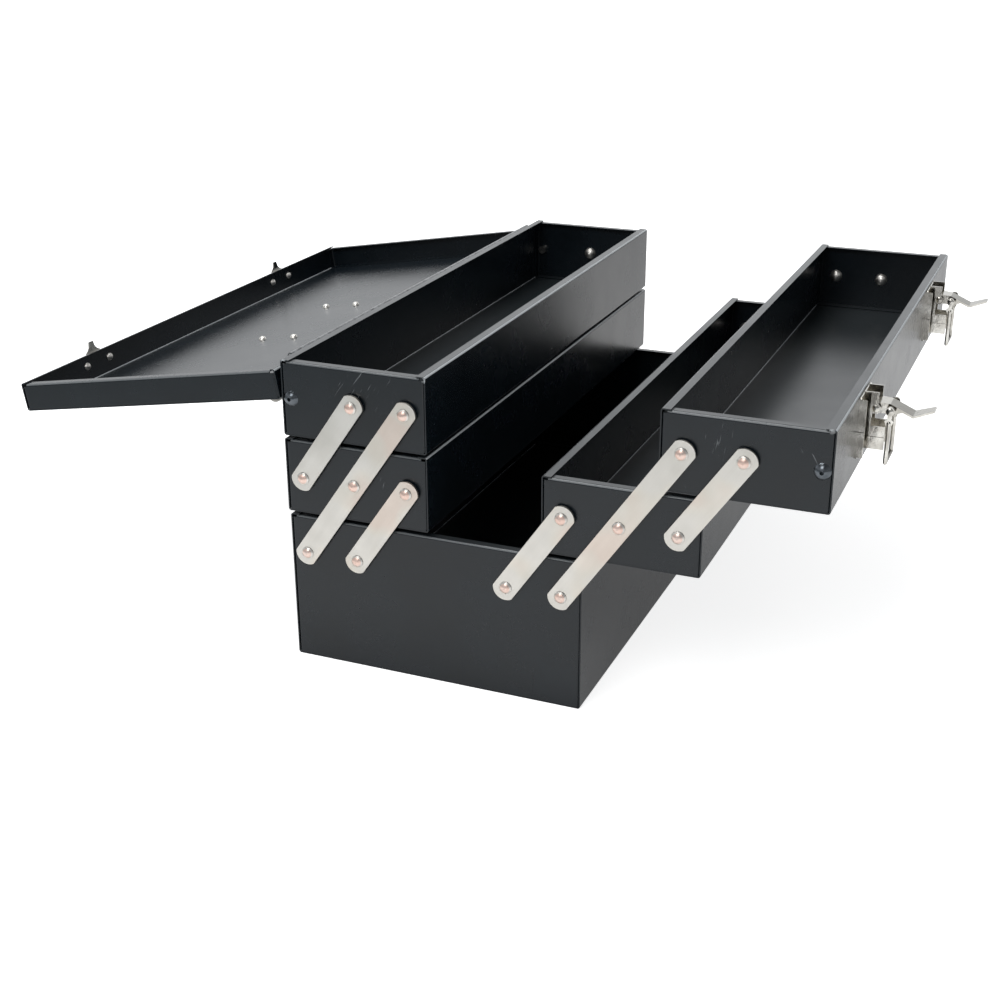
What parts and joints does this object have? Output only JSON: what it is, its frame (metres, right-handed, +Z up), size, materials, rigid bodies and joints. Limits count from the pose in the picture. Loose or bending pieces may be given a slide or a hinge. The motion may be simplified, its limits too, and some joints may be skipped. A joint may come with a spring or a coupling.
{
  "type": "cantilever tool box",
  "caption": "Folded sheet steel tool box with trays that swing out on parallel arms at both ends, a shallow hinged lid with a folding handle, and two draw latches.",
  "frame": {"origin": "centre of the base box's underside, on the surface it stands on", "axes": "+X across the box towards the latches, +Y along the box to its rear end, +Z up"},
  "size_m": [0.5876, 0.4408, 0.2016],
  "materials": {
    "black_coat": "satin powder coat",
    "arm_steel": "satin zinc plate",
    "rivet_steel": "nickel plate with a copper tint",
    "washer_steel": "zinc plate",
    "black_rivet": "gloss black",
    "hinge_coat": "black coat worn bright at the knuckles",
    "latch_steel": "bright nickel plate",
    "grip_rubber": "matt"
  },
  "bodies": {
    "base": {"base_shell": "black_coat", "base_front_panel": "black_coat", "base_rear_panel": "black_coat", "base_rivets": "rivet_steel", "base_washers": "washer_steel"},
    "left_long_arms": {"left_long_arm_front": "arm_steel", "left_long_arm_rear": "arm_steel"},
    "left_lower_arms": {"left_lower_arm_front": "arm_steel", "left_lower_arm_rear": "arm_steel"},
    "left_upper_arms": {"left_upper_arm_front": "arm_steel", "left_upper_arm_rear": "arm_steel"},
    "left_lower_tray": {"left_lower_tray_shell": "black_coat", "left_lower_tray_front": "black_coat", "left_lower_tray_rear": "black_coat", "left_lower_tray_rivets": "rivet_steel", "left_lower_tray_washers": "washer_steel"},
    "left_upper_tray": {"left_upper_tray_shell": "black_coat", "left_upper_tray_front": "black_coat", "left_upper_tray_rear": "black_coat", "left_upper_tray_rivets": "rivet_steel", "left_upper_tray_washers": "washer_steel", "left_upper_tray_studs": "black_rivet", "tray_hinge_leaf": "hinge_coat", "hinge_pin": "rivet_steel"},
    "lid": {"lid_shell": "black_coat", "lid_front_panel": "black_coat", "lid_rear_panel": "black_coat", "lid_rivets": "rivet_steel", "lid_hinge_leaf": "hinge_coat", "strike_plates": "latch_steel", "handle_brackets": "latch_steel"},
    "handle": {"handle_bail": "latch_steel", "handle_grip": "grip_rubber"},
    "right_long_arms": {"right_long_arm_front": "arm_steel", "right_long_arm_rear": "arm_steel"},
    "right_lower_arms": {"right_lower_arm_front": "arm_steel", "right_lower_arm_rear": "arm_steel"},
    "right_upper_arms": {"right_upper_arm_front": "arm_steel", "right_upper_arm_rear": "arm_steel"},
    "right_lower_tray": {"right_lower_tray_shell": "black_coat", "right_lower_tray_front": "black_coat", "right_lower_tray_rear": "black_coat", "right_lower_tray_rivets": "rivet_steel", "right_lower_tray_washers": "washer_steel"},
    "right_upper_tray": {"right_upper_tray_shell": "black_coat", "right_upper_tray_front": "black_coat", "right_upper_tray_rear": "black_coat", "right_upper_tray_rivets": "rivet_steel", "right_upper_tray_washers": "washer_steel", "right_upper_tray_studs": "black_rivet", "front_latch_base": "latch_steel", "rear_latch_base": "latch_steel", "latch_base_rivets": "latch_steel", "latch_lever_pins": "latch_steel"},
    "front_lever": {"front_latch_lever": "latch_steel", "front_loop_pin": "latch_steel"},
    "rear_lever": {"rear_latch_lever": "latch_steel", "rear_loop_pin": "latch_steel"},
    "front_loop": {"front_latch_loop": "latch_steel"},
    "rear_loop": {"rear_latch_loop": "latch_steel"}
  },
  "joints": [
    {"name": "left_swing", "type": "hinge", "parent": "base", "child": "left_long_arms", "pos_m": [-0.086, 0, 0.0755], "axis": [0, 1, 0], "range_deg": [-69.59, 0]},
    {"name": "left_lower_tray_turn", "type": "hinge", "parent": "left_long_arms", "child": "left_lower_tray", "pos_m": [-0.0507, 0, 0.1263], "axis": [0, 1, 0], "range_deg": [0, 69.59]},
    {"name": "left_upper_tray_turn", "type": "hinge", "parent": "left_long_arms", "child": "left_upper_tray", "pos_m": [-0.0154, 0, 0.1771], "axis": [0, 1, 0], "range_deg": [0, 69.59]},
    {"name": "left_lower_arm_turn", "type": "hinge", "parent": "base", "child": "left_lower_arms", "pos_m": [-0.0505, 0, 0.0755], "axis": [0, 1, 0], "range_deg": [-69.59, 0]},
    {"name": "left_upper_arm_turn", "type": "hinge", "parent": "left_lower_tray", "child": "left_upper_arms", "pos_m": [-0.0862, 0, 0.1263], "axis": [0, 1, 0], "range_deg": [-69.59, 0]},
    {"name": "right_swing", "type": "hinge", "parent": "base", "child": "right_long_arms", "pos_m": [0.086, 0, 0.0755], "axis": [0, -1, 0], "range_deg": [0, 69.59]},
    {"name": "right_lower_tray_turn", "type": "hinge", "parent": "right_long_arms", "child": "right_lower_tray", "pos_m": [0.1213, 0, 0.1263], "axis": [0, -1, 0], "range_deg": [-69.59, 0]},
    {"name": "right_upper_tray_turn", "type": "hinge", "parent": "right_long_arms", "child": "right_upper_tray", "pos_m": [0.1566, 0, 0.1771], "axis": [0, -1, 0], "range_deg": [-69.59, 0]},
    {"name": "right_lower_arm_turn", "type": "hinge", "parent": "base", "child": "right_lower_arms", "pos_m": [0.0505, 0, 0.0755], "axis": [0, -1, 0], "range_deg": [0, 69.59]},
    {"name": "right_upper_arm_turn", "type": "hinge", "parent": "right_lower_tray", "child": "right_upper_arms", "pos_m": [0.1568, 0, 0.1263], "axis": [0, -1, 0], "range_deg": [0, 69.59]},
    {"name": "lid_hinge", "type": "hinge", "parent": "left_upper_tray", "child": "lid", "pos_m": [-0.1023, 0, 0.1986], "axis": [0, 1, 0], "range_deg": [0, 189.6]},
    {"name": "handle_swing", "type": "hinge", "parent": "lid", "child": "handle", "pos_m": [-0.19692, -0.006, 0.15481], "axis": [0, 1, 0], "range_deg": [-93.6, 74.4]},
    {"name": "front_lever_turn", "type": "hinge", "parent": "right_upper_tray", "child": "front_lever", "pos_m": [0.2489, -0.134, 0.1914], "axis": [0, 1, 0], "range_deg": [0, 90]},
    {"name": "front_loop_turn", "type": "hinge", "parent": "front_lever", "child": "front_loop", "pos_m": [0.2574, -0.134, 0.1914], "axis": [0, 1, 0], "range_deg": [-278.17, 0]},
    {"name": "rear_lever_turn", "type": "hinge", "parent": "right_upper_tray", "child": "rear_lever", "pos_m": [0.2489, 0.122, 0.1914], "axis": [0, 1, 0], "range_deg": [0, 90]},
    {"name": "rear_loop_turn", "type": "hinge", "parent": "rear_lever", "child": "rear_loop", "pos_m": [0.2574, 0.122, 0.1914], "axis": [0, 1, 0], "range_deg": [-278.17, 0]}
  ],
  "couplings": [
    {"joint": "left_lower_tray_turn", "follows": "left_swing", "ratio": -1},
    {"joint": "left_upper_tray_turn", "follows": "left_swing", "ratio": -1},
    {"joint": "left_lower_arm_turn", "follows": "left_swing", "ratio": 1},
    {"joint": "left_upper_arm_turn", "follows": "left_swing", "ratio": 1},
    {"joint": "right_lower_tray_turn", "follows": "right_swing", "ratio": -1},
    {"joint": "right_upper_tray_turn", "follows": "right_swing", "ratio": -1},
    {"joint": "right_lower_arm_turn", "follows": "right_swing", "ratio": 1},
    {"joint": "right_upper_arm_turn", "follows": "right_swing", "ratio": 1},
    {"joint": "front_loop_turn", "follows": "front_lever_turn", "ratio": -3.0907},
    {"joint": "rear_loop_turn", "follows": "rear_lever_turn", "ratio": -3.0907}
  ]
}
